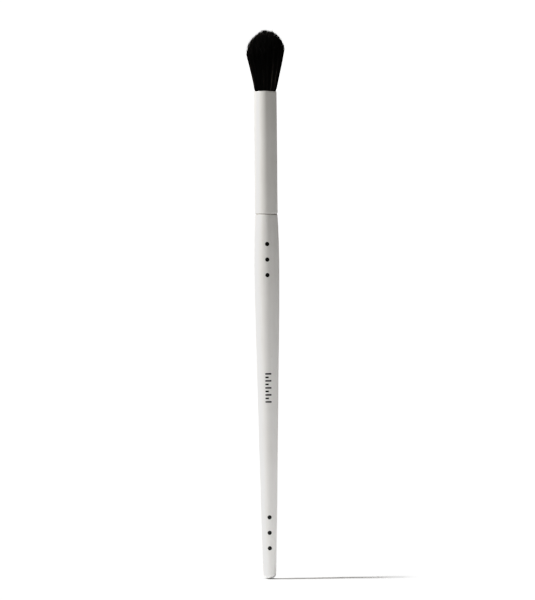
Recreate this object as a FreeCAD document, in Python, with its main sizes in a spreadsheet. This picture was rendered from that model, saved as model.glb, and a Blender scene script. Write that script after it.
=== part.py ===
# Round eyeshadow brush: a turned wooden handle, a painted tube ferrule and a flared tuft of black hair.
# Millimetres. The axis of the brush is +Z. The origin is the centre of the butt's flat, on which the brush stands.
import FreeCAD, Part
import Sketcher
import math
import os

# ---------------------------------------------------------------------------------------------
# Driving dimensions. Each one is a cell of the sheet, and its key is the cell's alias.
# ---------------------------------------------------------------------------------------------
SIZES = [
    # handle, from the butt to the shoulder
    ("handle_length", 112.87),
    ("butt_rounding", 1.12),
    ("shoulder_rounding", 0.30),
    # poles of the turned profile: height above the butt, then radius
    ("pole_height_a", 7.53),
    ("pole_height_b", 22.59),
    ("pole_height_c", 45.19),
    ("pole_height_d", 67.78),
    ("pole_height_e", 90.38),
    ("pole_height_f", 105.44),
    ("pole_radius_butt", 1.97),
    ("pole_radius_a", 2.26),
    ("pole_radius_b", 2.54),
    ("pole_radius_c", 2.96),
    ("pole_radius_d", 3.43),
    ("pole_radius_e", 3.93),
    ("pole_radius_f", 3.91),
    ("pole_radius_shoulder", 3.46),
    # tenon, which the ferrule slides over
    ("tenon_radius", 3.05),
    ("tenon_length", 18.5),
    ("tenon_chamfer", 0.6),
    ("glue_groove_width", 0.9),
    ("glue_groove_depth", 0.22),
    ("glue_groove_start", 4.0),
    ("glue_groove_pitch", 4.2),
    ("glue_groove_count", 3),
    # ferrule
    ("seam_gap", 0.20),
    ("ferrule_length", 37.86),
    ("ferrule_radius", 3.525),
    ("ferrule_wall", 0.30),
    ("ferrule_foot_rounding", 0.22),
    ("ferrule_rim_rounding", 0.20),
    ("ferrule_rim_inner_rounding", 0.07),
    # adhesive film
    ("glue_clearance", 0.012),
    ("glue_bead_radius", 3.30),
    # root plug of cast resin
    ("resin_start", 22.6),
    ("resin_floor", 1.9),
    ("resin_cup_depth", 3.4),
    ("resin_clearance", 0.015),
    # hair bundle: its roots, the waist under the binding, and the straight part in the ferrule
    ("root_radius", 2.85),
    ("root_height", 3.9),
    ("waist_radius", 2.72),
    ("waist_height", 1.85),
    ("waist_slope", 0.35),
    ("bundle_radius", 3.19),
    # visible hair: poles of the flare and the dome, height above the ferrule's rim, then radius
    ("hair_length", 19.07),
    ("flare_height_a", 1.20),
    ("flare_height_b", 3.72),
    ("flare_height_c", 7.40),
    ("flare_height_d", 11.02),
    ("flare_height_e", 14.81),
    ("flare_height_f", 17.87),
    ("flare_radius_a", 3.45),
    ("flare_radius_b", 4.00),
    ("flare_radius_c", 4.71),
    ("flare_radius_d", 5.675),
    ("flare_radius_e", 5.755),
    ("flare_radius_f", 3.52),
    ("flare_radius_top", 0.79),
    # binding thread
    ("thread_diameter", 0.30),
    ("thread_pitch", 0.36),
    ("thread_turns", 4),
]

doc = FreeCAD.newDocument("EyeshadowBrush")
sheet = doc.addObject("Spreadsheet::Sheet", "dims")
for row, (alias, value) in enumerate(SIZES, start=1):
    sheet.set("A%d" % row, alias.replace("_", " "))
    sheet.set("B%d" % row, str(value))
    sheet.setAlias("B%d" % row, alias)
doc.recompute()


class Dim:
    """A length together with the expression that gives it in the sheet."""

    def __init__(self, value, text):
        self.value = float(value)
        self.text = text

    @staticmethod
    def of(other):
        return other if isinstance(other, Dim) else Dim(other, repr(float(other)))

    def __add__(self, other):
        other = Dim.of(other)
        return Dim(self.value + other.value, "(%s + %s)" % (self.text, other.text))

    def __sub__(self, other):
        other = Dim.of(other)
        return Dim(self.value - other.value, "(%s - %s)" % (self.text, other.text))

    def __mul__(self, other):
        other = Dim.of(other)
        return Dim(self.value * other.value, "%s * %s" % (self.text, other.text))


D = {alias: Dim(sheet.get(alias), "dims." + alias) for alias, _ in SIZES}
ZERO = Dim(0, "0")


def origin_plane(body, role):
    """One of the body's own origin planes, by its role."""
    for feature in body.Origin.OriginFeatures:
        if feature.Role == role:
            return feature
    raise RuntimeError("no plane " + role)


def new_body(label):
    body = doc.addObject("PartDesign::Body", label)
    body.Label = label
    return body


def new_sketch(body, name, role="XZ_Plane"):
    sketch = body.newObject("Sketcher::SketchObject", name)
    sketch.AttachmentSupport = [(origin_plane(body, role), "")]
    sketch.MapMode = "FlatFace"
    doc.recompute()
    return sketch


def bind(sketch, constraint, dim, name):
    """Adds a named dimension to the sketch and ties it to the sheet."""
    index = sketch.addConstraint(constraint)
    sketch.renameConstraint(index, name)
    sketch.setExpression("Constraints." + name, dim.text)


def pin_point(sketch, geo, pos, x, y, name):
    """Fixes a point of the sketch: on an axis where a coordinate is 0, else by a dimension."""
    if x.value == 0 and y.value == 0:
        sketch.addConstraint(Sketcher.Constraint("Coincident", geo, pos, -1, 1))
        return
    if x.value == 0:
        sketch.addConstraint(Sketcher.Constraint("PointOnObject", geo, pos, -2))
    else:
        bind(sketch, Sketcher.Constraint("DistanceX", -1, 1, geo, pos, x.value), x, name + "_x")
    if y.value == 0:
        sketch.addConstraint(Sketcher.Constraint("PointOnObject", geo, pos, -1))
    else:
        bind(sketch, Sketcher.Constraint("DistanceY", -1, 1, geo, pos, y.value), y, name + "_y")


def vec(point):
    return FreeCAD.Vector(point[0].value, point[1].value, 0)


def outline(sketch, corners, spline_after=None, poles=()):
    """A closed outline of straight sides through the corners. The side that follows the corner
    numbered spline_after is a cubic spline with the given poles between the two corners."""
    count = len(corners)
    edges = []
    for i in range(count):
        a, b = corners[i], corners[(i + 1) % count]
        if i == spline_after:
            control = [a] + list(poles) + [b]
            curve = Part.BSplineCurve([vec(p) for p in control], None, None, False, 3, None, False)
            geo = sketch.addGeometry(curve, False)
            for number, point in enumerate(control):
                circle = sketch.addGeometry(
                    Part.Circle(vec(point), FreeCAD.Vector(0, 0, 1), 0.5), True
                )
                sketch.addConstraint(
                    Sketcher.Constraint(
                        "InternalAlignment:Sketcher::BSplineControlPoint", circle, 3, geo, number
                    )
                )
                sketch.addConstraint(Sketcher.Constraint("Weight", circle, 1.0))
                if 0 < number < len(control) - 1:
                    pin_point(sketch, circle, 3, point[0], point[1], "pole%d" % number)
            edges.append(geo)
        else:
            edges.append(sketch.addGeometry(Part.LineSegment(vec(a), vec(b)), False))
    for i in range(count):
        sketch.addConstraint(Sketcher.Constraint("Coincident", edges[i], 2, edges[(i + 1) % count], 1))
    for i in range(count):
        pin_point(sketch, edges[i], 1, corners[i][0], corners[i][1], "corner%d" % i)
    doc.recompute()


def revolve(body, sketch, name):
    feature = body.newObject("PartDesign::Revolution", name)
    feature.Profile = sketch
    feature.ReferenceAxis = (sketch, ["V_Axis"])
    feature.Angle = 360.0
    sketch.Visibility = False
    doc.recompute()
    body.Tip = feature
    return feature


def rim_edges(shape, radius, height, gap=0.02):
    """Names of the circular edges about the axis with this radius at this height."""
    found = []
    for number, edge in enumerate(shape.Edges, start=1):
        box = edge.BoundBox
        if (
            isinstance(edge.Curve, Part.Circle)
            and abs(edge.Curve.Radius - radius) < gap
            and abs(edge.Curve.Center.z - height) < gap
            and box.ZLength < gap
        ):
            found.append("Edge%d" % number)
    if not found:
        raise RuntimeError("no edge of radius %g at height %g" % (radius, height))
    return found


def round_edge(body, base, radius, height, dim, name):
    feature = body.newObject("PartDesign::Fillet", name)
    feature.Base = (base, rim_edges(base.Shape, radius, height))
    feature.Radius = dim.value
    feature.setExpression("Radius", dim.text)
    doc.recompute()
    body.Tip = feature
    return feature


def chamfer_edge(body, base, radius, height, dim, name):
    feature = body.newObject("PartDesign::Chamfer", name)
    feature.Base = (base, rim_edges(base.Shape, radius, height))
    feature.Size = dim.value
    feature.setExpression("Size", dim.text)
    doc.recompute()
    body.Tip = feature
    return feature


def lift(body, height):
    """Stands the body's own origin at this height on the axis of the brush."""
    body.Placement = FreeCAD.Placement(FreeCAD.Vector(0, 0, height.value), FreeCAD.Rotation())
    body.setExpression(".Placement.Base.z", height.text)
    doc.recompute()


# Heights on the axis that several pieces share.
shoulder = D["handle_length"]
tenon_top = shoulder + D["tenon_length"]
ferrule_foot = shoulder + D["seam_gap"]
ferrule_rim = ferrule_foot + D["ferrule_length"]
bore_radius = D["ferrule_radius"] - D["ferrule_wall"]
resin_foot = shoulder + D["resin_start"]
root_foot = resin_foot + D["resin_floor"]
waist_foot = D["root_height"]
waist_top = D["root_height"] + D["waist_height"]

# ---------------------------------------------------------------------------------------------
# Handle: turned from one piece of wood with its tenon, then lacquered.
# ---------------------------------------------------------------------------------------------
handle = new_body("handle")
profile = new_sketch(handle, "HandleProfile")
outline(
    profile,
    [
        (ZERO, ZERO),
        (D["pole_radius_butt"], ZERO),
        (D["pole_radius_shoulder"], shoulder),
        (D["tenon_radius"], shoulder),
        (D["tenon_radius"], tenon_top),
        (ZERO, tenon_top),
    ],
    spline_after=1,
    poles=[(D["pole_radius_" + k], D["pole_height_" + k]) for k in "abcdef"],
)
turned = revolve(handle, profile, "HandleTurned")
butt = round_edge(
    handle, turned, D["pole_radius_butt"].value, 0.0, D["butt_rounding"], "ButtRounding"
)
neck = round_edge(
    handle,
    butt,
    D["pole_radius_shoulder"].value,
    shoulder.value,
    D["shoulder_rounding"],
    "ShoulderRounding",
)
tip = chamfer_edge(
    handle, neck, D["tenon_radius"].value, tenon_top.value, D["tenon_chamfer"], "TenonChamfer"
)

# Annular glue grooves round the tenon.
groove_low = shoulder + D["glue_groove_start"]
groove_high = groove_low + D["glue_groove_width"]
groove_floor = D["tenon_radius"] - D["glue_groove_depth"]
groove_sketch = new_sketch(handle, "GlueGrooveProfile")
outline(
    groove_sketch,
    [
        (groove_floor, groove_low),
        (D["tenon_radius"] + 0.1, groove_low),
        (D["tenon_radius"] + 0.1, groove_high),
        (groove_floor, groove_high),
    ],
)
before_groove = tip.Shape.Volume
groove = handle.newObject("PartDesign::Groove", "GlueGroove")
groove.Profile = groove_sketch
groove.ReferenceAxis = (groove_sketch, ["V_Axis"])
groove.Angle = 360.0
groove_sketch.Visibility = False
doc.recompute()
handle.Tip = groove
one_groove = before_groove - groove.Shape.Volume
if one_groove < 1.0:
    raise RuntimeError("the glue groove cuts nothing")
grooves = handle.newObject("PartDesign::LinearPattern", "GlueGrooves")
grooves.Originals = [groove]
grooves.Direction = (groove_sketch, ["V_Axis"])
grooves.Length = D["glue_groove_pitch"].value * (D["glue_groove_count"].value - 1)
grooves.setExpression("Length", "dims.glue_groove_pitch * (dims.glue_groove_count - 1)")
grooves.Occurrences = int(D["glue_groove_count"].value)
grooves.setExpression("Occurrences", "dims.glue_groove_count")
doc.recompute()
handle.Tip = grooves
doc.recompute()

# ---------------------------------------------------------------------------------------------
# Ferrule: a straight drawn tube. Its rim at the hair is rounded, its foot at the seam a little.
# ---------------------------------------------------------------------------------------------
ferrule = new_body("ferrule")
ring = new_sketch(ferrule, "FerruleSection", "XY_Plane")
outer = ring.addGeometry(
    Part.Circle(FreeCAD.Vector(0, 0, 0), FreeCAD.Vector(0, 0, 1), D["ferrule_radius"].value), False
)
inner = ring.addGeometry(
    Part.Circle(FreeCAD.Vector(0, 0, 0), FreeCAD.Vector(0, 0, 1), bore_radius.value), False
)
for circle, dim, name in (
    (outer, D["ferrule_radius"], "outer_radius"),
    (inner, bore_radius, "bore_radius"),
):
    ring.addConstraint(Sketcher.Constraint("Coincident", circle, 3, -1, 1))
    bind(ring, Sketcher.Constraint("Radius", circle, dim.value), dim, name)
doc.recompute()
tube = ferrule.newObject("PartDesign::Pad", "FerruleTube")
tube.Profile = ring
tube.Length = D["ferrule_length"].value
tube.setExpression("Length", "dims.ferrule_length")
ring.Visibility = False
doc.recompute()
ferrule.Tip = tube
foot = round_edge(
    ferrule, tube, D["ferrule_radius"].value, 0.0, D["ferrule_foot_rounding"], "FootRounding"
)
rim_outer = round_edge(
    ferrule,
    foot,
    D["ferrule_radius"].value,
    D["ferrule_length"].value,
    D["ferrule_rim_rounding"],
    "RimRounding",
)
rim_inner = round_edge(
    ferrule,
    rim_outer,
    bore_radius.value,
    D["ferrule_length"].value,
    D["ferrule_rim_inner_rounding"],
    "RimInnerRounding",
)
lift(ferrule, ferrule_foot)

# ---------------------------------------------------------------------------------------------
# Adhesive film between the tenon and the bore, its ribs in the glue grooves, and the thin bead
# that shows in the seam between the shoulder and the ferrule's foot.
# ---------------------------------------------------------------------------------------------
adhesive = new_body("tenon_adhesive")
film_in = D["tenon_radius"] + D["glue_clearance"]
film_out = bore_radius - D["glue_clearance"]
bead_low = D["glue_clearance"]
bead_high = D["seam_gap"] - D["glue_clearance"]
film_top = D["tenon_length"] - D["tenon_chamfer"]
film_sketch = new_sketch(adhesive, "FilmProfile")
outline(
    film_sketch,
    [
        (film_in, bead_low),
        (D["glue_bead_radius"], bead_low),
        (D["glue_bead_radius"], bead_high),
        (film_out, bead_high),
        (film_out, film_top),
        (film_in, film_top),
    ],
)
film = revolve(adhesive, film_sketch, "Film")
rib_in = groove_floor + D["glue_clearance"]
rib_low = D["glue_groove_start"] + D["glue_clearance"]
rib_high = D["glue_groove_start"] + D["glue_groove_width"] - D["glue_clearance"]
rib_sketch = new_sketch(adhesive, "RibProfile")
outline(
    rib_sketch,
    [
        (rib_in, rib_low),
        (film_in + 0.05, rib_low),
        (film_in + 0.05, rib_high),
        (rib_in, rib_high),
    ],
)
rib = revolve(adhesive, rib_sketch, "Rib")
ribs = adhesive.newObject("PartDesign::LinearPattern", "Ribs")
ribs.Originals = [rib]
ribs.Direction = (rib_sketch, ["V_Axis"])
ribs.Length = D["glue_groove_pitch"].value * (D["glue_groove_count"].value - 1)
ribs.setExpression("Length", "dims.glue_groove_pitch * (dims.glue_groove_count - 1)")
ribs.Occurrences = int(D["glue_groove_count"].value)
ribs.setExpression("Occurrences", "dims.glue_groove_count")
doc.recompute()
adhesive.Tip = ribs
lift(adhesive, shoulder)

# ---------------------------------------------------------------------------------------------
# Root resin: a cast cup in the ferrule that holds the cut ends of the hair.
# ---------------------------------------------------------------------------------------------
resin = new_body("root_resin")
resin_out = bore_radius - D["resin_clearance"]
cup_radius = D["root_radius"] + D["resin_clearance"]
cup_floor = D["resin_floor"] - D["resin_clearance"]
cup_top = D["resin_floor"] + D["resin_cup_depth"]
resin_sketch = new_sketch(resin, "ResinProfile")
outline(
    resin_sketch,
    [
        (ZERO, ZERO),
        (resin_out, ZERO),
        (resin_out, cup_top),
        (cup_radius, cup_top),
        (cup_radius, cup_floor),
        (ZERO, cup_floor),
    ],
)
cast = revolve(resin, resin_sketch, "ResinCast")
lift(resin, resin_foot)

# ---------------------------------------------------------------------------------------------
# Hair: one closed solid for the bundle. Roots, waist under the binding, straight part in the
# bore, then the flare above the rim and the dome.
# ---------------------------------------------------------------------------------------------
tuft = new_body("bristle_tuft")
rim_in_tuft = ferrule_rim - root_foot
tuft_sketch = new_sketch(tuft, "TuftProfile")
outline(
    tuft_sketch,
    [
        (ZERO, ZERO),
        (D["root_radius"], ZERO),
        (D["root_radius"], waist_foot),
        (D["waist_radius"], waist_foot + D["waist_slope"]),
        (D["waist_radius"], waist_top + D["waist_slope"]),
        (D["bundle_radius"], waist_top + D["waist_slope"] * 3),
        (D["bundle_radius"], rim_in_tuft),
        (ZERO, rim_in_tuft + D["hair_length"]),
    ],
    spline_after=6,
    poles=[
        (D["flare_radius_" + k], rim_in_tuft + D["flare_height_" + k]) for k in "abcdef"
    ]
    + [(D["flare_radius_top"], rim_in_tuft + D["hair_length"])],
)
hair = revolve(tuft, tuft_sketch, "Hair")
lift(tuft, root_foot)

# ---------------------------------------------------------------------------------------------
# Binding thread: a few tight turns round the waist of the bundle.
# ---------------------------------------------------------------------------------------------
thread = new_body("knot_thread")
coil_radius = D["waist_radius"] + D["thread_diameter"] * 0.5 + 0.02
thread_foot = root_foot + waist_foot + D["waist_slope"] + D["thread_diameter"] * 0.5 + 0.02
thread_sketch = new_sketch(thread, "ThreadSection")
section = thread_sketch.addGeometry(
    Part.Circle(
        FreeCAD.Vector(coil_radius.value, 0, 0),
        FreeCAD.Vector(0, 0, 1),
        D["thread_diameter"].value / 2,
    ),
    False,
)
thread_sketch.addConstraint(Sketcher.Constraint("PointOnObject", section, 3, -1))
bind(
    thread_sketch,
    Sketcher.Constraint("DistanceX", -1, 1, section, 3, coil_radius.value),
    coil_radius,
    "coil_radius",
)
bind(
    thread_sketch,
    Sketcher.Constraint("Diameter", section, D["thread_diameter"].value),
    D["thread_diameter"],
    "thread_diameter",
)
doc.recompute()
winding = thread.newObject("PartDesign::AdditiveHelix", "Winding")
winding.Profile = thread_sketch
winding.ReferenceAxis = (thread_sketch, ["V_Axis"])
winding.Mode = 0
winding.Pitch = D["thread_pitch"].value
winding.setExpression("Pitch", "dims.thread_pitch")
winding.Height = D["thread_pitch"].value * D["thread_turns"].value
winding.setExpression("Height", "dims.thread_pitch * dims.thread_turns")
winding.Angle = 0
winding.Growth = 0
thread_sketch.Visibility = False
doc.recompute()
thread.Tip = winding
lift(thread, thread_foot)

# ---------------------------------------------------------------------------------------------
# Checks of the document, then one file per piece.
# ---------------------------------------------------------------------------------------------
doc.recompute()
pieces = [handle, ferrule, adhesive, resin, tuft, thread]
for obj in doc.Objects:
    if "Invalid" in obj.State or "Error" in obj.State:
        raise RuntimeError("%s failed: %s" % (obj.Name, obj.State))
for piece in pieces:
    shape = piece.Shape
    if shape.isNull() or not shape.isValid() or len(shape.Solids) != 1:
        raise RuntimeError("bad shape in " + piece.Label)

patterned = (before_groove - grooves.Shape.Volume) / one_groove
if abs(patterned - D["glue_groove_count"].value) > 0.02:
    raise RuntimeError("glue grooves: %.3f cut" % patterned)
thread_length = D["thread_turns"].value * math.hypot(
    2 * math.pi * coil_radius.value, D["thread_pitch"].value
)
thread_volume = math.pi * (D["thread_diameter"].value / 2) ** 2 * thread_length
if abs(thread.Shape.Volume / thread_volume - 1) > 0.03:
    raise RuntimeError("thread volume %.4f, expected %.4f" % (thread.Shape.Volume, thread_volume))

os.makedirs("parts", exist_ok=True)
for piece in pieces:
    piece.Shape.exportStep("parts/%s.step" % piece.Label)
    box = piece.Shape.BoundBox
    print(
        "%-15s volume %9.3f  r %6.3f  z %8.3f to %8.3f"
        % (piece.Label, piece.Shape.Volume, box.XMax, box.ZMin, box.ZMax)
    )
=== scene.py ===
import math

import bpy
import numpy as np
from mathutils import Matrix, Vector

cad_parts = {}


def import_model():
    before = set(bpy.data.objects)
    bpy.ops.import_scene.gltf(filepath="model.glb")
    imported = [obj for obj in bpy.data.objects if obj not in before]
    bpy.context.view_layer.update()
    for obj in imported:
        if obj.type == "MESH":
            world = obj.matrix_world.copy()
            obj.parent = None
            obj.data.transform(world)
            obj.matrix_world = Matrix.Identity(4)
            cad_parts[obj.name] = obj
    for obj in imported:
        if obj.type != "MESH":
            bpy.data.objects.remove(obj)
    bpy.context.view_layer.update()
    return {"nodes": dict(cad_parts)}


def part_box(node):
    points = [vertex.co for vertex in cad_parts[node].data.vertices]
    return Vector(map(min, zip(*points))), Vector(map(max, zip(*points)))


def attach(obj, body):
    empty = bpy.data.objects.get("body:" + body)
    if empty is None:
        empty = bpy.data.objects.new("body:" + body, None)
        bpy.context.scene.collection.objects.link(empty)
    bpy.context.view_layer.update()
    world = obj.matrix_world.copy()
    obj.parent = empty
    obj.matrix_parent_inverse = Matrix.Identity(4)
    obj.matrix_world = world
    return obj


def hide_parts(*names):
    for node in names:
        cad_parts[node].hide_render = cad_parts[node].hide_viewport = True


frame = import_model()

MM = 0.001
scene = bpy.context.scene

# --------------------------------------------------------------------------------------------
# Places on the brush, in metres, read from the frame. The axis is Z.
# --------------------------------------------------------------------------------------------
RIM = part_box("ferrule")[1].z
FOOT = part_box("ferrule")[0].z
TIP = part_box("bristle_tuft")[1].z
ROOT_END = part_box("bristle_tuft")[0].z


# --------------------------------------------------------------------------------------------
# Small helpers for node trees and meshes.
# --------------------------------------------------------------------------------------------
class Tree:
    """A material's node tree, with short ways to add nodes and links."""

    def __init__(self, name):
        self.mat = bpy.data.materials.new(name)
        self.mat.use_nodes = True
        self.nt = self.mat.node_tree
        self.nt.nodes.clear()
        self.out = self.nt.nodes.new("ShaderNodeOutputMaterial")
        self.bsdf = self.nt.nodes.new("ShaderNodeBsdfPrincipled")
        self.link(self.bsdf.outputs["BSDF"], self.out.inputs["Surface"])

    def link(self, a, b):
        self.nt.links.new(a, b)

    def node(self, kind, **settings):
        made = self.nt.nodes.new(kind)
        for key, value in settings.items():
            if key.startswith("in_"):
                made.inputs[key[3:].replace("_", " ")].default_value = value
            else:
                setattr(made, key, value)
        return made

    def coords(self, scale=(1, 1, 1), kind="Object", turn=(0, 0, 0)):
        source = self.node("ShaderNodeTexCoord")
        place = self.node("ShaderNodeMapping")
        place.inputs["Scale"].default_value = scale
        place.inputs["Rotation"].default_value = turn
        self.link(source.outputs[kind], place.inputs["Vector"])
        return place.outputs["Vector"]

    def noise(self, vector, scale, detail=3.0, rough=0.55, distortion=0.0):
        n = self.node("ShaderNodeTexNoise")
        n.inputs["Scale"].default_value = scale
        n.inputs["Detail"].default_value = detail
        n.inputs["Roughness"].default_value = rough
        n.inputs["Distortion"].default_value = distortion
        self.link(vector, n.inputs["Vector"])
        return n.outputs["Fac"]

    def ramp(self, fac, stops, smooth="LINEAR"):
        r = self.node("ShaderNodeValToRGB")
        r.color_ramp.interpolation = smooth
        while len(r.color_ramp.elements) < len(stops):
            r.color_ramp.elements.new(0.5)
        for element, (at, colour) in zip(r.color_ramp.elements, stops):
            element.position = at
            element.color = (*colour, 1.0) if len(colour) == 3 else colour
        self.link(fac, r.inputs["Fac"])
        return r.outputs["Color"]

    def between(self, fac, low, high, start=0.0, end=1.0):
        m = self.node("ShaderNodeMapRange")
        m.inputs["From Min"].default_value = start
        m.inputs["From Max"].default_value = end
        m.inputs["To Min"].default_value = low
        m.inputs["To Max"].default_value = high
        self.link(fac, m.inputs["Value"])
        return m.outputs["Result"]

    def math(self, operation, a, b=None):
        m = self.node("ShaderNodeMath", operation=operation)
        for socket, value in zip(m.inputs, (a, b)):
            if value is None:
                continue
            if isinstance(value, (int, float)):
                socket.default_value = value
            else:
                self.link(value, socket)
        return m.outputs["Value"]

    def mix(self, fac, a, b, blend="MIX"):
        m = self.node("ShaderNodeMix", data_type="RGBA", blend_type=blend)
        sockets = {s.identifier: s for s in m.inputs}
        for key, value in (("Factor_Float", fac), ("A_Color", a), ("B_Color", b)):
            socket = sockets[key]
            if isinstance(value, (int, float)):
                socket.default_value = value
            elif isinstance(value, tuple):
                socket.default_value = (*value, 1.0) if len(value) == 3 else value
            else:
                self.link(value, socket)
        return {s.identifier: s for s in m.outputs}["Result_Color"]

    def bump(self, height, distance, strength=1.0, after=None):
        b = self.node("ShaderNodeBump")
        b.inputs["Strength"].default_value = strength
        b.inputs["Distance"].default_value = distance
        self.link(height, b.inputs["Height"])
        if after is not None:
            self.link(after, b.inputs["Normal"])
        return b.outputs["Normal"]

    def set(self, name, value):
        socket = self.bsdf.inputs[name]
        if isinstance(value, (int, float)):
            socket.default_value = value
        elif isinstance(value, tuple):
            socket.default_value = (*value, 1.0) if len(value) == 3 else value
        else:
            self.link(value, socket)


def make_object(name, verts, faces, material, smooth=True, uv=None):
    """A mesh object from arrays: verts (n, 3) in metres, and faces as lists of corners."""
    me = bpy.data.meshes.new(name)
    me.from_pydata([tuple(v) for v in verts], [], [tuple(int(i) for i in f) for f in faces])
    me.validate()
    if smooth:
        me.polygons.foreach_set("use_smooth", [True] * len(me.polygons))
    me.materials.append(material)
    ob = bpy.data.objects.new(name, me)
    scene.collection.objects.link(ob)
    return ob


def give(node, material):
    """Puts a material on a CAD node's own slot."""
    ob = frame["nodes"][node]
    if not ob.material_slots:
        ob.data.materials.append(material)
    for s in ob.material_slots:
        s.material = material


def smoothstep(a, b, x):
    t = np.clip((x - a) / (b - a), 0.0, 1.0)
    return t * t * (3 - 2 * t)


# --------------------------------------------------------------------------------------------
# Materials
# --------------------------------------------------------------------------------------------
def lacquer():
    """White satin lacquer over turned and sanded wood."""
    t = Tree("white_satin_lacquer")
    at = t.coords()
    long_way = t.coords(scale=(1.0, 1.0, 0.045))
    cloud = t.noise(at, 70.0, 3.0)
    fine = t.noise(at, 900.0, 4.0)
    grain = t.noise(long_way, 1500.0, 5.0, 0.6, 0.3)
    colour = t.ramp(cloud, [(0.30, (0.800, 0.792, 0.772)), (0.70, (0.845, 0.840, 0.824))])
    toned = t.ramp(grain, [(0.25, (0.965, 0.960, 0.950)), (0.60, (1.0, 1.0, 1.0))])
    colour = t.mix(1.0, colour, toned, "MULTIPLY")
    # pores and nibs that the lacquer didn't quite fill: sparse, tiny and only a little darker
    speck = t.node("ShaderNodeTexVoronoi", feature="F1", in_Scale=520.0, in_Randomness=1.0)
    t.link(t.coords(scale=(1.0, 1.0, 0.35)), speck.inputs["Vector"])
    spot = t.between(speck.outputs["Distance"], 0.93, 1.0, 0.04, 0.13)
    colour = t.mix(1.0, colour, spot, "MULTIPLY")
    t.set("Base Color", colour)
    t.set("Roughness", t.between(fine, 0.40, 0.52, 0.3, 0.7))
    t.set("IOR", 1.47)
    t.set("Coat Weight", 0.12)
    t.set("Coat Roughness", 0.28)
    n = t.bump(t.noise(at, 700.0, 2.0), 1.4e-5, 0.5)
    n = t.bump(grain, 5.0e-6, 0.5, n)
    t.set("Normal", n)
    return t.mat


def paint():
    """The same white, sprayed on a drawn tube: finer peel, faint draw lines along the tube."""
    t = Tree("white_satin_paint")
    at = t.coords()
    drawn = t.noise(t.coords(scale=(1.0, 1.0, 0.02)), 2600.0, 3.0)
    cloud = t.noise(at, 90.0, 2.0)
    colour = t.ramp(cloud, [(0.30, (0.802, 0.795, 0.766)), (0.70, (0.842, 0.837, 0.812))])
    # painted shade: the paint at the rim, under the hair, and at the foot, by the seam, is a shade greyer
    place = t.node("ShaderNodeSeparateXYZ")
    t.link(at, place.inputs["Vector"])
    z = place.outputs["Z"]
    rim = t.between(z, 0.0, 1.0, RIM - 0.22 * MM, RIM - 0.02 * MM)
    foot = t.between(z, 1.0, 0.0, FOOT + 0.02 * MM, FOOT + 0.20 * MM)
    edge = t.math("MULTIPLY", t.math("MAXIMUM", rim, foot), t.between(t.noise(at, 1500.0, 2.0), 0.0, 1.0, 0.35, 0.65))
    colour = t.mix(edge, colour, (0.70, 0.695, 0.685))
    t.set("Base Color", colour)
    t.set("Roughness", t.between(drawn, 0.36, 0.47, 0.3, 0.7))
    t.set("IOR", 1.47)
    t.set("Coat Weight", 0.15)
    t.set("Coat Roughness", 0.25)
    n = t.bump(t.noise(at, 1300.0, 2.0), 7.0e-6, 0.5)
    n = t.bump(drawn, 3.0e-6, 0.4, n)
    t.set("Normal", n)
    return t.mat


def ink():
    """Pad-printed black ink: nearly opaque, with a slightly uneven film."""
    t = Tree("black_pad_print")
    at = t.coords()
    film = t.noise(at, 2600.0, 4.0)
    t.set("Base Color", t.ramp(film, [(0.30, (0.005, 0.005, 0.005)), (0.75, (0.017, 0.0165, 0.016))]))
    t.set("Roughness", t.between(film, 0.38, 0.60))
    t.set("IOR", 1.42)
    t.set("Normal", t.bump(film, 2.0e-6, 0.5))
    return t.mat


def hair():
    """Black tapered filaments. The map's U is a number of each hair's own, and V runs from root to tip."""
    t = Tree("black_hair")
    source = t.node("ShaderNodeUVMap", uv_map="OFBake")
    place = t.node("ShaderNodeSeparateXYZ")
    t.link(source.outputs["UV"], place.inputs["Vector"])
    u, v = place.outputs["X"], place.outputs["Y"]
    stretch = t.node("ShaderNodeMapping")
    stretch.inputs["Scale"].default_value = (24.0, 2.2, 1.0)
    t.link(source.outputs["UV"], stretch.inputs["Vector"])
    tint = t.noise(stretch.outputs["Vector"], 1.0, 2.0, 0.5)
    number = t.math("ADD", u, t.between(tint, -0.14, 0.14, 0.3, 0.7))
    dark = t.ramp(number, [(0.0, (0.0018, 0.0014, 0.0012)), (1.0, (0.0090, 0.0072, 0.0062))])
    # the tones strands take in the band above the ferrule; the lighter ones are a painted sheen
    sheen_streaks = t.ramp(
        number,
        [
            (0.00, (0.0015, 0.0011, 0.0009)),
            (0.52, (0.0042, 0.0033, 0.0028)),
            (0.76, (0.0115, 0.0096, 0.0085)),
            (0.88, (0.0340, 0.0300, 0.0276)),
            (1.00, (0.0820, 0.0740, 0.0690)),
        ],
    )
    # a little above the ferrule, where the hair lies close and straight, the strands take the streaked tones, each over
    # a stretch of its own: a painted sheen on the lighter strands, on top of each strand's own shade
    offset = t.between(t.noise(stretch.outputs["Vector"], 3.0, 0.0), -0.16, 0.16, 0.3, 0.7)
    height = t.math("ADD", v, offset)
    sheen_band = t.math("MULTIPLY", t.between(height, 1.0, 0.08, 0.56, 0.78), t.between(height, 0.35, 1.0, 0.08, 0.24))
    colour = t.mix(sheen_band, dark, sheen_streaks)
    # the ends are a little lighter, where the hair is thin
    tip = t.between(v, 0.0, 1.0, 0.955, 1.0)
    colour = t.mix(t.math("MULTIPLY", tip, 0.30), colour, (0.040, 0.036, 0.032))
    t.set("Base Color", colour)
    t.set("Roughness", t.between(tint, 0.34, 0.50, 0.3, 0.8))
    t.set("IOR", 1.45)
    t.set("Specular IOR Level", 0.38)
    return t.mat


def core_fill():
    """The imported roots, seen only between the hairs."""
    t = Tree("packed_roots")
    at = t.coords(scale=(1.0, 1.0, 0.03))
    n = t.noise(at, 5200.0, 3.0)
    t.set("Base Color", t.ramp(n, [(0.35, (0.002, 0.002, 0.002)), (0.75, (0.012, 0.010, 0.009))]))
    t.set("Roughness", t.between(n, 0.5, 0.75))
    t.set("Normal", t.bump(n, 3.0e-5, 0.8))
    return t.mat


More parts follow.
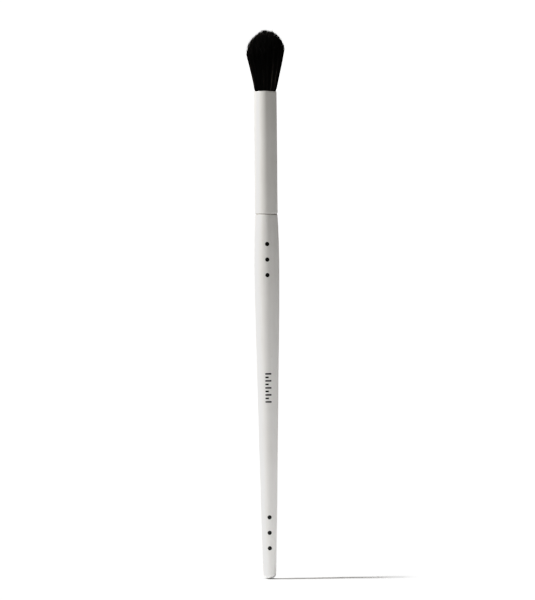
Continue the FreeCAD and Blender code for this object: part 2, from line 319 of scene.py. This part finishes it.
def glue():
    t = Tree("set_adhesive")
    at = t.coords()
    n = t.noise(at, 1400.0, 3.0)
    t.set("Base Color", t.ramp(n, [(0.3, (0.30, 0.285, 0.25)), (0.7, (0.42, 0.40, 0.36))]))
    t.set("Roughness", t.between(n, 0.35, 0.6))
    t.set("Normal", t.bump(n, 2.0e-5, 0.6))
    return t.mat


def resin():
    t = Tree("cast_resin")
    at = t.coords()
    n = t.noise(at, 500.0, 4.0)
    t.set("Base Color", t.ramp(n, [(0.3, (0.32, 0.20, 0.075)), (0.7, (0.52, 0.36, 0.16))]))
    t.set("Roughness", t.between(n, 0.12, 0.30))
    t.set("IOR", 1.55)
    t.set("Coat Weight", 0.4)
    t.set("Normal", t.bump(t.noise(at, 900.0, 2.0), 1.0e-5, 0.5))
    return t.mat


def thread():
    """Twisted cotton: the plies run aslant round the thread."""
    t = Tree("binding_thread")
    at = t.coords(turn=(0.0, 0.6, 0.0))
    ply = t.node("ShaderNodeTexWave", wave_type="BANDS", bands_direction="DIAGONAL")
    ply.inputs["Scale"].default_value = 2200.0
    ply.inputs["Distortion"].default_value = 1.5
    t.link(at, ply.inputs["Vector"])
    fuzz = t.noise(t.coords(), 6000.0, 3.0)
    colour = t.ramp(ply.outputs["Fac"], [(0.2, (0.48, 0.44, 0.36)), (0.8, (0.72, 0.68, 0.60))])
    t.set("Base Color", t.mix(t.math("MULTIPLY", fuzz, 0.3), colour, (0.40, 0.36, 0.30)))
    t.set("Roughness", t.between(fuzz, 0.75, 0.95))
    t.set("Sheen Weight", 0.3)
    t.set("Normal", t.bump(ply.outputs["Fac"], 3.0e-5, 0.8))
    return t.mat


LACQUER, PAINT, INK, HAIR = lacquer(), paint(), ink(), hair()
give("handle", LACQUER)
give("ferrule", PAINT)
give("tenon_adhesive", glue())
give("root_resin", resin())
give("knot_thread", thread())


# --------------------------------------------------------------------------------------------
# Hair. Every hair is a closed tube of three sides that tapers to a point. Lengths here are in
# millimetres, heights are above the ferrule's rim.
# --------------------------------------------------------------------------------------------
BORE = 3.17  # outermost hair's path in the mouth of the ferrule
DOME_FOOT = 12.2  # height at which the tuft is widest
DOME_TOP = (TIP - RIM) / MM + 0.02  # height of the top of the dome
START = -1.1  # the tubes start this far down in the ferrule
DOME_TILT = 0.125  # the ends on the +X side stand higher than those on the -X side


def flare(h):
    """Radius of the outermost hair's path at height h: it swells out over the rim, then an even flare that eases off near the top."""
    up = np.maximum(h, 0)
    swell = 0.11 * (1 - np.exp(-up / 0.15)) * np.exp(-((up / 2.2) ** 2))
    straight = BORE + 0.2195 * up + 0.06 * (1 - np.exp(-up / 0.4)) + swell
    bend = smoothstep(10.5, 19.0, h) * 0.10 * np.maximum(h - 10.5, 0)
    return straight - bend


def dome_radius(h):
    """Outline of the hair's ends: a dome a little taller than a half ball, and a little more pointed."""
    k = np.clip((h - DOME_FOOT) / (DOME_TOP - DOME_FOOT), 0, 1)
    return flare(DOME_FOOT) * np.maximum(1 - k**1.9, 0) ** (1 / 1.9)


HEIGHTS = np.linspace(10.5, DOME_TOP, 600)
SHARE = dome_radius(HEIGHTS) / flare(HEIGHTS)  # of the flare's radius at which a hair ends here
ORDER = np.argsort(SHARE)


def end_height(share):
    """Height at which the hair that keeps this share of the flare's radius meets the dome."""
    return np.interp(np.clip(share, 0, 1), SHARE[ORDER], HEIGHTS[ORDER])


def lean(h):
    """The tuft isn't quite even: its foot stands a little towards +X."""
    return 0.10 - 0.05 * smoothstep(7.0, 12.5, h) - 0.05 * smoothstep(12.5, 16.0, h)


def tubes(name, paths, radii, tint, facing):
    """paths (n, k, 3) and radii (n, k - 1), the last point of each path being its tip. One closed tube each."""
    n, k, _ = paths.shape
    rings = k - 1
    along = np.gradient(paths, axis=1)
    along /= np.linalg.norm(along, axis=2, keepdims=True)
    side = np.stack([np.cos(facing), np.sin(facing), np.zeros(n)], 1)[:, None, :]
    side = side - (side * along).sum(2, keepdims=True) * along
    side /= np.linalg.norm(side, axis=2, keepdims=True)
    other = np.cross(along, side)
    turn = np.array([0, 2 * np.pi / 3, 4 * np.pi / 3])
    ring = (
        paths[:, :rings, None, :]
        + radii[:, :, None, None]
        * (
            np.cos(turn)[None, None, :, None] * side[:, :rings, None, :]
            + np.sin(turn)[None, None, :, None] * other[:, :rings, None, :]
        )
    )  # n, rings, 3, 3
    per = rings * 3 + 1
    verts = np.concatenate([ring.reshape(n, rings * 3, 3), paths[:, -1:, :]], 1)
    verts = verts.reshape(n * per, 3) * MM
    verts[:, 2] += RIM
    quads, cap, tips = [], [], []
    for r in range(rings - 1):
        for s in range(3):
            a, b = r * 3 + s, r * 3 + (s + 1) % 3
            quads.append((a, b, b + 3, a + 3))
    for s in range(3):
        tips.append(((rings - 1) * 3 + s, (rings - 1) * 3 + (s + 1) % 3, rings * 3))
    cap.append((2, 1, 0))
    quads, tris = np.array(quads), np.array(cap + tips)
    base = (np.arange(n) * per)[:, None, None]
    q = (quads[None] + base).reshape(-1, 4)
    t = (tris[None] + base).reshape(-1, 3)
    corners = np.concatenate([q.ravel(), t.ravel()])
    total = np.concatenate([np.full(len(q), 4), np.full(len(t), 3)])
    start = np.concatenate([[0], np.cumsum(total)[:-1]])
    me = bpy.data.meshes.new(name)
    me.vertices.add(len(verts))
    me.vertices.foreach_set("co", verts.astype(np.float32).ravel())
    me.loops.add(len(corners))
    me.loops.foreach_set("vertex_index", corners.astype(np.int32))
    me.polygons.add(len(total))
    me.polygons.foreach_set("loop_start", start.astype(np.int32))
    me.polygons.foreach_set("loop_total", total.astype(np.int32))
    me.polygons.foreach_set("use_smooth", np.ones(len(total), bool))
    # U: the hair's own number, a little different on its three sides. V: along the hair.
    step = np.concatenate([[0], np.cumsum(np.linalg.norm(np.diff(paths, axis=1), axis=2).mean(0))])
    v_ring = step[:rings] / step[-1]
    u = np.concatenate([np.tile([0.0, 0.004, 0.008], rings), [0.004]])
    v = np.concatenate([np.repeat(v_ring, 3), [1.0]])
    uv = np.stack([(0.005 + 0.982 * tint[:, None] + u[None]).ravel(), np.tile(v, n)], 1)
    layer = me.uv_layers.new(name="OFBake")
    layer.uv.foreach_set("vector", uv[corners].astype(np.float32).ravel())
    me.update(calc_edges=True)
    me.validate()
    me.materials.append(HAIR)
    ob = bpy.data.objects.new(name, me)
    scene.collection.objects.link(ob)
    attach(ob, "root")
    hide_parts("bristle_tuft")
    return ob


STEPS = (0.0, 0.055, 0.085, 0.17, 0.29, 0.43, 0.57, 0.71, 0.83, 0.92, 0.982, 1.0)  # places of the rings along a hair, and of its tip


def grow(seed, shade_seed, count, rim_count):
    """Paths of the whole bundle, from even places in the bore to the dome. rim_count more stand in a close ring at the bore."""
    rng = np.random.default_rng(seed)
    i = np.arange(count) + 0.5
    share = np.sqrt(i / count)
    angle = i * math.pi * (3 - math.sqrt(5))
    spread = BORE / math.sqrt(count)
    x = share * BORE * np.cos(angle) + rng.normal(0, 0.45 * spread, count)
    y = share * BORE * np.sin(angle) + rng.normal(0, 0.45 * spread, count)
    ring = (np.arange(rim_count) + rng.uniform(-0.35, 0.35, rim_count)) * 2 * np.pi / rim_count
    deep = BORE - np.abs(rng.normal(0, 0.03, rim_count))
    x, y = np.concatenate([x, deep * np.cos(ring)]), np.concatenate([y, deep * np.sin(ring)])
    count += rim_count
    r = np.hypot(x, y)
    x, y = x * np.minimum(1, BORE / r), y * np.minimum(1, BORE / r)
    share = np.hypot(x, y) / BORE

    # locks: hairs near one another draw together towards their ends
    locks = 240
    j = np.arange(locks) + 0.5
    lock_share = np.sqrt(j / locks)
    lock_angle = j * math.pi * (3 - math.sqrt(5)) + rng.normal(0, 0.12, locks)
    lx = lock_share * BORE * np.cos(lock_angle) + rng.normal(0, 0.06, locks)
    ly = lock_share * BORE * np.sin(lock_angle) + rng.normal(0, 0.06, locks)
    near = ((x[:, None] - lx[None]) ** 2 + (y[:, None] - ly[None]) ** 2).argmin(1)
    pull = np.clip(rng.normal(0.26, 0.13, locks), 0.05, 0.62)[near] * rng.uniform(0.5, 1.25, count)
    lock_rise = np.clip(rng.normal(0.0, 0.09, locks), -0.30, 0.24)[near]
    # a few broad clumps stand a little higher or lower, and shift a little sideways towards their ends
    clumps = 40
    k = np.arange(clumps) + 0.5
    cx = np.sqrt(k / clumps) * BORE * np.cos(k * math.pi * (3 - math.sqrt(5)))
    cy = np.sqrt(k / clumps) * BORE * np.sin(k * math.pi * (3 - math.sqrt(5)))
    clump = ((lx[:, None] - cx[None]) ** 2 + (ly[:, None] - cy[None]) ** 2).argmin(1)[near]
    clump_rise = np.clip(rng.normal(0.0, 0.10, clumps), -0.20, 0.16)[clump]
    clump_shift = rng.normal(0.0, 0.05, (2, clumps))[:, clump]

    # where each hair ends
    top = end_height(share) + DOME_TILT * x * flare(np.full(count, 15.0)) / BORE
    top = top + lock_rise + clump_rise + rng.normal(0, 0.16, count) - rng.exponential(0.14, count)
    few = rng.random(count) < 0.16
    top = np.where(few, top - rng.uniform(0.2, 2.4, count), top)
    top = np.minimum(top, DOME_TOP + 0.15)

    f = np.array(STEPS)
    h = START + (top[:, None] - START) * f[None]
    out = flare(h) / BORE
    px, py = x[:, None] * out, y[:, None] * out
    up = np.clip(h / top[:, None], 0, 1)
    draw = pull[:, None] * smoothstep(0.25, 1.0, up)
    px = px + (lx[near][:, None] * out - px) * draw
    py = py + (ly[near][:, None] * out - py) * draw

    # a natural wave, and a little splay of each hair's own
    phase = rng.uniform(0, 2 * np.pi, (2, count))
    turns = rng.uniform(0.6, 1.7, count)
    size = rng.gamma(2.0, 0.026, count)
    wave = np.sin(2 * np.pi * turns[:, None] * up + phase[0][:, None]) * size[:, None] * up**1.2
    px = px + wave * np.cos(phase[1])[:, None]
    py = py + wave * np.sin(phase[1])[:, None]
    splay = clump_shift + rng.normal(0, 0.11, (2, count))
    px = px + splay[0][:, None] * up**2
    py = py + splay[1][:, None] * up**2
    # the outermost hairs don't leave the flare by more than their own thickness
    reach = np.hypot(px, py)
    most = flare(h) + 0.03 + 0.09 * up**2
    hold = np.minimum(1, most / np.maximum(reach, 1e-6))
    px, py = px * hold, py * hold
    px = px + lean(h) * (h > 0) * np.clip(h / 1.5, 0, 1)
    paths = np.stack([px, py, h], 2)

    thick = rng.normal(0.034, 0.003, count).clip(0.026, 0.042)
    taper = 1 - 0.45 * smoothstep(0.70, 1.0, f[:-1])
    radii = thick[:, None] * taper[None]
    # strands: a few hairs side by side share a shade
    shades = np.random.default_rng(shade_seed)
    strands = 420
    s = np.arange(strands) + 0.5
    sx = np.sqrt(s / strands) * BORE * np.cos(s * math.pi * (3 - math.sqrt(5))) + shades.normal(0, 0.04, strands)
    sy = np.sqrt(s / strands) * BORE * np.sin(s * math.pi * (3 - math.sqrt(5))) + shades.normal(0, 0.04, strands)
    strand = ((x[:, None] - sx[None]) ** 2 + (y[:, None] - sy[None]) ** 2).argmin(1)
    tint = np.clip(shades.random(strands)[strand] + shades.normal(0, 0.05, count), 0, 1)
    return paths, radii, tint, rng.uniform(0, 2 * np.pi, count), share


HAIRS = []
paths, radii, tint, facing, share = grow(404, 2, 6000, 280)
for name, chosen in (
    ("hair_outer", share >= 0.80),
    ("hair_middle", (share < 0.80) & (share >= 0.50)),
    ("hair_inner", share < 0.50),
):
    HAIRS.append(tubes(name, paths[chosen], radii[chosen], tint[chosen], facing[chosen]))


def strays(seed, count):
    """A few loose hairs that stand off the tuft's outline."""
    rng = np.random.default_rng(seed)
    angle = rng.uniform(0, 2 * np.pi, count)
    share = np.sqrt(rng.uniform(0.45, 1.0, count))
    top = end_height(share) + rng.normal(0.12, 0.2, count)
    off = rng.gamma(2.0, 0.15, count)
    f = np.linspace(0, 1, 9)
    h = START + (top[:, None] - START) * f[None]
    up = np.clip(h / top[:, None], 0, 1)
    reach = share[:, None] * flare(h) + off[:, None] * smoothstep(0.35, 1.0, up)
    swing = rng.normal(0, 0.05, count)[:, None] * up**2
    px = reach * np.cos(angle[:, None] + swing) + lean(h) * np.clip(h / 1.5, 0, 1) * (h > 0)
    py = reach * np.sin(angle[:, None] + swing)
    radii = 0.024 * (1 - 0.7 * f[:8])[None] * np.ones((count, 1))
    return np.stack([px, py, h], 2), radii, rng.random(count), rng.uniform(0, 2 * np.pi, count)


HAIRS.append(tubes("hair_strays", *strays(99, 160)))


def lathe(name, outline, sides, material, ridges=0, depth=0.0):
    """A closed body of revolution. outline is (radius, height) in metres, from the bottom's middle to the top's middle."""
    turn = np.linspace(0, 2 * np.pi, sides, endpoint=False)
    verts, faces = [(0, 0, outline[0][1])], []
    rings = outline[1:-1]
    for r, z in rings:
        rr = r + depth * (np.cos(turn * ridges) - 1) * 0.5 if ridges else np.full(sides, r)
        verts += list(zip(rr * np.cos(turn), rr * np.sin(turn), np.full(sides, z)))
    verts.append((0, 0, outline[-1][1]))
    last = len(verts) - 1
    for s in range(sides):
        n = (s + 1) % sides
        faces.append((0, 1 + n, 1 + s))
        for r in range(len(rings) - 1):
            a, b = 1 + r * sides + s, 1 + r * sides + n
            faces.append((a, b, b + sides, a + sides))
        a, b = 1 + (len(rings) - 1) * sides + s, 1 + (len(rings) - 1) * sides + n
        faces.append((a, b, last))
    ob = make_object(name, verts, faces, material)
    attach(ob, "root")
    return ob


roots = lathe(
    "hair_roots",
    [
        (0, ROOT_END),
        (2.84 * MM, ROOT_END),
        (2.84 * MM, ROOT_END + 3.9 * MM),
        (2.71 * MM, ROOT_END + 4.25 * MM),
        (2.71 * MM, ROOT_END + 6.1 * MM),
        (3.05 * MM, ROOT_END + 6.8 * MM),
        (3.10 * MM, RIM - 0.9 * MM),
        (0, RIM - 0.7 * MM),
    ],
    192,
    core_fill(),
    ridges=48,
    depth=0.05 * MM,
)
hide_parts("bristle_tuft")


# --------------------------------------------------------------------------------------------
# Printed marks: plain dots and a plain row of ticks, as a thin film that follows the handle.
# --------------------------------------------------------------------------------------------
HANDLE = frame["nodes"]["handle"]


def handle_profile():
    """Radius of the handle at each height, read from the frame's own mesh below the shoulder."""
    co = np.empty(len(HANDLE.data.vertices) * 3, np.float32)
    HANDLE.data.vertices.foreach_get("co", co)
    co = co.reshape(-1, 3).astype(float)
    z, r = co[:, 2], np.hypot(co[:, 0], co[:, 1])
    keep = (z > 0.002) & (z < FOOT - 0.6 * MM)
    cells = np.round(z[keep] / (0.4 * MM)).astype(int)
    best = {}
    for c, rr, zz in zip(cells, r[keep], z[keep]):
        if c not in best or rr > best[c][1]:
            best[c] = (zz, rr)
    known = np.array(sorted(best.values()))
    return known[:, 0], known[:, 1]


PROFILE = handle_profile()


def on_handle(across, z, lift):
    """Points at this distance across from the front line (at -Y), at this height, this far off the surface."""
    r = np.interp(z, *PROFILE)
    a = -math.pi / 2 + across / r + FRONT_TURN
    return np.stack([(r + lift) * np.cos(a), (r + lift) * np.sin(a), z], -1)


FRONT_TURN = math.radians(2.0)


def print_film(name, shapes):
    """shapes: closed outlines, each (n, 2) of (across, height) in metres, convex and small. Each becomes a thin closed film."""
    verts, faces = [], []
    for outline in shapes:
        outline = np.asarray(outline, float)
        n = len(outline)
        middle = outline.mean(0)
        steps = [1.0, 0.93, 0.6, 0.3]  # rings towards the middle, so that the film follows the round handle
        base = len(verts)
        for lift, edge in ((-12e-6, 1.0), (9e-6, 1.0)):
            for i, s in enumerate(steps):
                ring = middle + (outline - middle) * s
                up = lift if not (lift > 0 and i > 0) else 13e-6
                verts += list(on_handle(ring[:, 0], ring[:, 1], up))
            verts.append(on_handle(middle[0:1], middle[1:2], 13e-6 if lift > 0 else lift)[0])
        layer = n * len(steps) + 1
        for top in (0, 1):
            o = base + top * layer
            for i in range(len(steps) - 1):
                for k in range(n):
                    a, b = o + i * n + k, o + i * n + (k + 1) % n
                    f = (a, b, b + n, a + n)
                    faces.append(f if top else f[::-1])
            for k in range(n):
                a, b = o + (len(steps) - 1) * n + k, o + (len(steps) - 1) * n + (k + 1) % n
                f = (a, b, o + layer - 1)
                faces.append(f if top else f[::-1])
        for k in range(n):
            a, b = base + k, base + (k + 1) % n
            faces.append((a, b, b + layer, a + layer))
    ob = make_object(name, verts, faces, INK, smooth=True)
    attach(ob, "root")
    return ob


def dot(x, z, r):
    a = np.linspace(0, 2 * np.pi, 28, endpoint=False)
    return np.stack([x + r * np.cos(a), z + r * np.sin(a)], 1)


def tick(x, z, wide, high):
    """A bar with slightly rounded corners, and points close enough along its sides to follow the round handle."""
    c = min(wide, high) * 0.3
    points = []
    for cx, cz, a0 in (
        (wide / 2 - c, high / 2 - c, 0),
        (-wide / 2 + c, high / 2 - c, 90),
        (-wide / 2 + c, -high / 2 + c, 180),
        (wide / 2 - c, -high / 2 + c, 270),
    ):
        for a in np.radians(np.linspace(a0, a0 + 90, 4)):
            points.append((x + cx + c * math.cos(a), z + cz + c * math.sin(a)))
    corners = np.array(points)
    close = []
    for a, b in zip(corners, np.roll(corners, -1, 0)):
        parts = max(1, math.ceil(np.hypot(*(b - a)) / (0.11 * MM)))
        close += [a + (b - a) * k / parts for k in range(parts)]
    return np.array(close)


def px_height(y):
    """Height on the axis of a row of the photograph."""
    return (578.2 - y) * 0.3102 * MM


print_film("marks_upper", [dot(0, px_height(y), 0.66 * MM) for y in (244.0, 259.5, 275.0)])
print_film(
    "marks_middle",
    [
        tick(-0.42 * MM if i % 2 else 0.0, px_height(y), (1.1 if i % 2 else 1.94) * MM, 0.50 * MM)
        for i, y in enumerate(np.linspace(373.5, 401.5, 9))
    ],
)
print_film("marks_lower", [dot(0, px_height(y), 0.66 * MM) for y in (517.0, 532.5, 548.0)])


# --------------------------------------------------------------------------------------------
# Stage: a white floor, soft daylight from the left, and white all round.
# --------------------------------------------------------------------------------------------
def floor():
    """A round of white floor. Away from the brush what the camera sees of it fades into a painted white glow, the same
    as the white behind, and the shadow fades with it.
    """
    n, rings = 96, 24
    size, low = 0.20, -0.37 * MM
    verts, faces = [(0, 0, low)], []
    for i in range(1, rings + 1):
        r = size * i / rings
        a = np.linspace(0, 2 * np.pi, n, endpoint=False)
        verts += list(zip(r * np.cos(a), r * np.sin(a), np.full(n, low)))
    for s in range(n):
        faces.append((0, 1 + s, 1 + (s + 1) % n))
        for i in range(rings - 1):
            a, b = 1 + i * n + s, 1 + i * n + (s + 1) % n
            faces.append((a, a + n, b + n, b))
    t = Tree("floor_white")
    t.nt.nodes.remove(t.bsdf)
    at = t.coords()
    far = t.node("ShaderNodeVectorMath", operation="LENGTH")
    t.link(at, far.inputs[0])
    seen = t.node("ShaderNodeLightPath").outputs["Is Camera Ray"]
    paper, bounce = t.node("ShaderNodeBsdfDiffuse"), t.node("ShaderNodeBsdfDiffuse")
    white, fill = t.node("ShaderNodeEmission"), t.node("ShaderNodeEmission")
    white.inputs["Strength"].default_value = WHITE
    fill.inputs["Color"].default_value = (0.955, 0.970, 1.0, 1.0)

    def curve(distance, table):
        c = t.node("ShaderNodeFloatCurve")
        points = c.mapping.curves[0].points
        for x, y in table[1:-1]:
            points.new(x / 60.0, y)
        for p, (x, y) in zip(points, table):
            p.location = (x / 60.0, y)
            p.handle_type = "AUTO_CLAMPED"
        c.mapping.update()
        t.link(t.math("MULTIPLY", distance, 1000.0 / 60.0), c.inputs["Value"])
        return c.outputs["Value"]

    beside = t.node("ShaderNodeVectorMath", operation="DISTANCE")
    t.link(at, beside.inputs[0])
    beside.inputs[1].default_value = (2.5 * MM, 0, low)
    t.link(curve(beside.outputs["Value"], FLOOR_FILL), fill.inputs["Strength"])
    given, shown, both = t.node("ShaderNodeAddShader"), t.node("ShaderNodeMixShader"), t.node("ShaderNodeMixShader")
    t.link(bounce.outputs[0], given.inputs[0])
    t.link(fill.outputs[0], given.inputs[1])
    t.link(curve(far.outputs["Value"], FLOOR_FADE), shown.inputs[0])
    # painted shadow and shade: close under the butt, and more so on the side away from the light, the floor's colour is
    # darkened, where the camera sees it and in the light it gives back to the brush
    for place, table, shader in (((1.4, 0.0), FLOOR_PAINTED_BOUNCE_SHADE, bounce), ((-0.15, 1.7), FLOOR_PAINTED_CONTACT_SHADOW, paper)):
        near = t.node("ShaderNodeVectorMath", operation="DISTANCE")
        t.link(at, near.inputs[0])
        near.inputs[1].default_value = (place[0] * MM, place[1] * MM, low)
        t.link(curve(near.outputs["Value"], table), shader.inputs["Color"])
    t.link(paper.outputs[0], shown.inputs[1])
    t.link(white.outputs[0], shown.inputs[2])
    t.link(seen, both.inputs[0])
    t.link(given.outputs[0], both.inputs[1])
    t.link(shown.outputs[0], both.inputs[2])
    t.link(both.outputs[0], t.out.inputs["Surface"])
    ob = make_object("floor", verts, faces, t.mat, smooth=False)
    return ob


WHITE = 1.36  # the white that the camera sees round the brush
# by distance in mm: light that the floor gives the brush on top of what it reflects, and how much of a painted white
# glow the floor shows the camera, which lightens the shadow near the brush and washes it out further away
FLOOR_FILL = [(0.0, 0.0), (2.5, 0.05), (7.0, 0.42), (60.0, 0.42)]
# painted shade and contact shadow on the floor, by distance in mm from points near the butt
FLOOR_PAINTED_BOUNCE_SHADE = [(0.0, 0.02), (1.0, 0.06), (1.7, 0.38), (2.6, 0.60), (4.0, 0.63), (60.0, 0.63)]
FLOOR_PAINTED_CONTACT_SHADOW = [(0.0, 0.15), (1.0, 0.20), (1.7, 0.44), (2.4, 0.75), (2.9, 0.80), (60.0, 0.80)]
FLOOR_FADE = [
    (0.0, 0.0), (2.2, 0.10), (4.5, 0.20), (25.0, 0.20), (29.2, 0.23), (31.7, 0.27), (34.2, 0.33), (37.3, 0.44),
    (40.4, 0.60), (42.3, 0.74), (44.1, 0.85), (46.0, 0.945), (48.0, 1.0), (60.0, 1.0),
]  # fmt: skip
FLOOR = floor()


def painted_contact_plug():
    """A painted shadow for the dark gap where the butt's flat meets the floor: a tiny low grey plug between the two,
    which stands in for the shade there.
    """
    n = 48
    turn = np.linspace(0, 2 * np.pi, n, endpoint=False)
    verts, faces = [], []
    for r, z in ((0.62, -0.375), (0.66, -0.30), (0.68, -0.19), (0.66, -0.08), (0.62, -0.004)):
        verts += list(zip(r * MM * np.cos(turn), r * MM * np.sin(turn), np.full(n, z * MM)))
    for i in range(4):
        for k in range(n):
            a, b = i * n + k, i * n + (k + 1) % n
            faces.append((a, b, b + n, a + n))
    faces.append(tuple(range(n - 1, -1, -1)))
    faces.append(tuple(range(4 * n, 5 * n)))
    t = Tree("painted_contact_shadow")
    grain = t.noise(t.coords(), 900.0, 2.0, 0.5)
    t.link(t.ramp(grain, [(0.30, CONTACT_SHADE_GREY), (0.70, tuple(c * 1.15 for c in CONTACT_SHADE_GREY))]),
           t.bsdf.inputs["Base Color"])
    t.set("Roughness", 0.9)
    ob = make_object("painted_contact_plug", verts, faces, t.mat, smooth=False)
    return ob


# painted shade: the plug's grey stands in for the shadow in the gap under the butt
CONTACT_SHADE_GREY = (0.56, 0.56, 0.56)
painted_contact_plug()


def towards(turn, rise):
    """Direction to a light: turn is how far it stands in front of the brush's left, rise is its height, in degrees."""
    a, e = math.radians(turn), math.radians(rise)
    return Vector((-math.cos(a) * math.cos(e), -math.sin(a) * math.cos(e), math.sin(e)))


def light(name, data, direction, at=(0, 0, 0), state="INCLUDE", objects=()):
    """Adds a light that shines against the direction given. The objects, or else the floor, are all that it lights (INCLUDE), or all that it leaves out (EXCLUDE)."""
    ob = bpy.data.objects.new(name, data)
    scene.collection.objects.link(ob)
    ob.location = at
    ob.rotation_mode = "QUATERNION"
    ob.rotation_quaternion = direction.to_track_quat("Z", "Y")
    lit = bpy.data.collections.new(name + "_lights")
    for number, chosen in enumerate(objects or (FLOOR,)):
        lit.objects.link(chosen)
        lit.collection_objects[number].light_linking.link_state = state
    ob.light_linking.receiver_collection = lit
    return ob


def key_light(name, turn, state, objects):
    """A small lamp above the brush's left, nearer to its top, so that the handle's butt gets less of it."""
    data = bpy.data.lights.new(name, "SPOT")
    data.energy = KEY_POWER
    data.spot_size, data.spot_blend = 2 * 0.8847, 1.0
    data.shadow_soft_size = 0.42 * math.tan(math.radians(KEY_SIZE / 2))
    data.color = (1.0, 0.995, 0.985)
    side = towards(turn, 0)
    at = side * 0.35 + Vector((0, 0, 0.375))
    return light(name, data, at - Vector((0, 0, 0.2926)), at, state, objects)


def floor_light():
    data = bpy.data.lights.new("floor_key", "SUN")
    data.energy = (WHITE - 0.11) * math.pi / 0.8 / math.sin(math.radians(56))
    data.angle = math.radians(3.5)
    return light("floor_key", data, towards(3.2, 56.0))


def waist_light():
    """A soft spot from the right, on the middle of the brush."""
    data = bpy.data.lights.new("waist", "SPOT")
    data.energy = WAIST_POWER
    data.spot_size, data.spot_blend = math.radians(20), 1.0
    data.shadow_soft_size = 0.06
    side = towards(135, 0)
    return light("waist", data, side, side * 0.5 + Vector((0, 0, 0.088)), "INCLUDE", (frame["nodes"]["handle"], frame["nodes"]["ferrule"]))


def sheen_light(name, turn, radiance):
    """A tall white screen that stands behind the brush to one side, for the sheen on that edge of the lacquer and the paint."""
    wide, high, away = 0.62, 0.60, 0.40
    data = bpy.data.lights.new(name, "AREA")
    data.shape = "RECTANGLE"
    data.size, data.size_y = wide, high
    data.energy = radiance * math.pi * wide * high
    data.color = (1.0, 0.985, 0.96)
    side = towards(turn, 0)
    ob = light(name, data, side, side * away + Vector((0, 0, 0.12)), "INCLUDE", (frame["nodes"]["handle"], frame["nodes"]["ferrule"]))
    ob.visible_camera = False
    return ob


def hair_light():
    """Soft light from the front that picks out the lighter strands."""
    data = bpy.data.lights.new("hair_front", "SUN")
    data.energy = HAIR_POWER
    data.angle = math.radians(20)
    return light("hair_front", data, towards(100, 25), (0, 0, 0), "INCLUDE", HAIRS)


KEY_SIZE, KEY_POWER = 7.0, 8.9
HAIR_POWER = 0.70
WAIST_POWER = 0.40
key_light("key", 9.0, "EXCLUDE", (FLOOR, frame["nodes"]["ferrule"]))
key_light("key_ferrule", 7.0, "INCLUDE", (frame["nodes"]["ferrule"],))
floor_light()
waist_light()
hair_light()
sheen_light("left_screen", -42.0, 0.42)
sheen_light("right_screen", -138.0, 0.25).visible_diffuse = False


def world():
    """White where the camera looks past the brush; what lights the brush is dimmer, a little warm, and stronger on its left."""
    w = bpy.data.worlds.new("white_all_round")
    scene.world = w
    w.use_nodes = True
    nt = w.node_tree
    nt.nodes.clear()
    out = nt.nodes.new("ShaderNodeOutputWorld")
    seen, lit = nt.nodes.new("ShaderNodeBackground"), nt.nodes.new("ShaderNodeBackground")
    path, mix = nt.nodes.new("ShaderNodeLightPath"), nt.nodes.new("ShaderNodeMixShader")
    way, axes = nt.nodes.new("ShaderNodeTexCoord"), nt.nodes.new("ShaderNodeSeparateXYZ")
    side = nt.nodes.new("ShaderNodeMapRange")
    side.inputs["From Min"].default_value = -1.0
    side.inputs["To Min"].default_value = AMBIENT * 1.6
    side.inputs["To Max"].default_value = AMBIENT * 0.4
    nt.links.new(way.outputs["Generated"], axes.inputs[0])
    nt.links.new(axes.outputs["X"], side.inputs["Value"])
    nt.links.new(side.outputs["Result"], lit.inputs["Strength"])
    seen.inputs["Color"].default_value = (1, 1, 1, 1)
    seen.inputs["Strength"].default_value = WHITE
    lit.inputs["Color"].default_value = (1.0, 0.93, 0.83, 1)
    nt.links.new(path.outputs["Is Camera Ray"], mix.inputs[0])
    nt.links.new(lit.outputs[0], mix.inputs[1])
    nt.links.new(seen.outputs[0], mix.inputs[2])
    nt.links.new(mix.outputs[0], out.inputs["Surface"])


AMBIENT = 0.15
world()

# --------------------------------------------------------------------------------------------
# Camera: a metre away, a little above the middle of the brush, and rolled by half a degree.
# --------------------------------------------------------------------------------------------
SCALE = 0.3102 * MM  # metres a pixel at the brush, in a picture of 535 x 600
distance = 1.0
aim = Vector((0.08 * MM, 0, (578.2 - 300) * SCALE))
height = 0.105
rise = math.asin((height - aim.z) / distance)
back = Vector((0, -math.cos(rise), math.sin(rise)))
cam_data = bpy.data.cameras.new("camera")
cam_data.sensor_width = 36.0
cam_data.lens = 36.0 * distance / (600 * SCALE)
cam_data.clip_start, cam_data.clip_end = 0.05, 20.0
cam = bpy.data.objects.new("camera", cam_data)
scene.collection.objects.link(cam)
cam.location = aim + back * distance
cam.rotation_mode = "QUATERNION"
look = (-back).to_track_quat("-Z", "Y")
roll = Matrix.Rotation(math.radians(-0.54), 4, "Z").to_quaternion()
cam.rotation_quaternion = look @ roll
scene.camera = cam

scene.view_settings.view_transform = "Standard"
scene.view_settings.look = "None"


def tone():
    """A print's tones: the blacks a little deeper, and a long soft shoulder under the white of the paper."""
    view = scene.view_settings
    view.use_curve_mapping = True
    mapping = view.curve_mapping
    mapping.use_clip = False
    mapping.clip_max_x = mapping.clip_max_y = 3.0
    mapping.extend = "EXTRAPOLATED"
    points = mapping.curves[3].points
    for x, y in TONES[1:-1]:
        points.new(x, y)
    for p, (x, y) in zip(points, TONES):
        p.location = (x, y)
        p.handle_type = "AUTO"
    mapping.update()


TONES = [
    (0.0, 0.0), (0.012, 0.003), (0.04, 0.026), (0.10, 0.092), (0.20, 0.20), (0.40, 0.40), (0.60, 0.60), (0.70, 0.70),
    (0.76, 0.752), (0.82, 0.786), (0.90, 0.810), (0.97, 0.826), (1.04, 0.860), (1.12, 0.915), (1.22, 0.965), (1.32, 1.0),
    (2.0, 1.4),
]  # fmt: skip
tone()
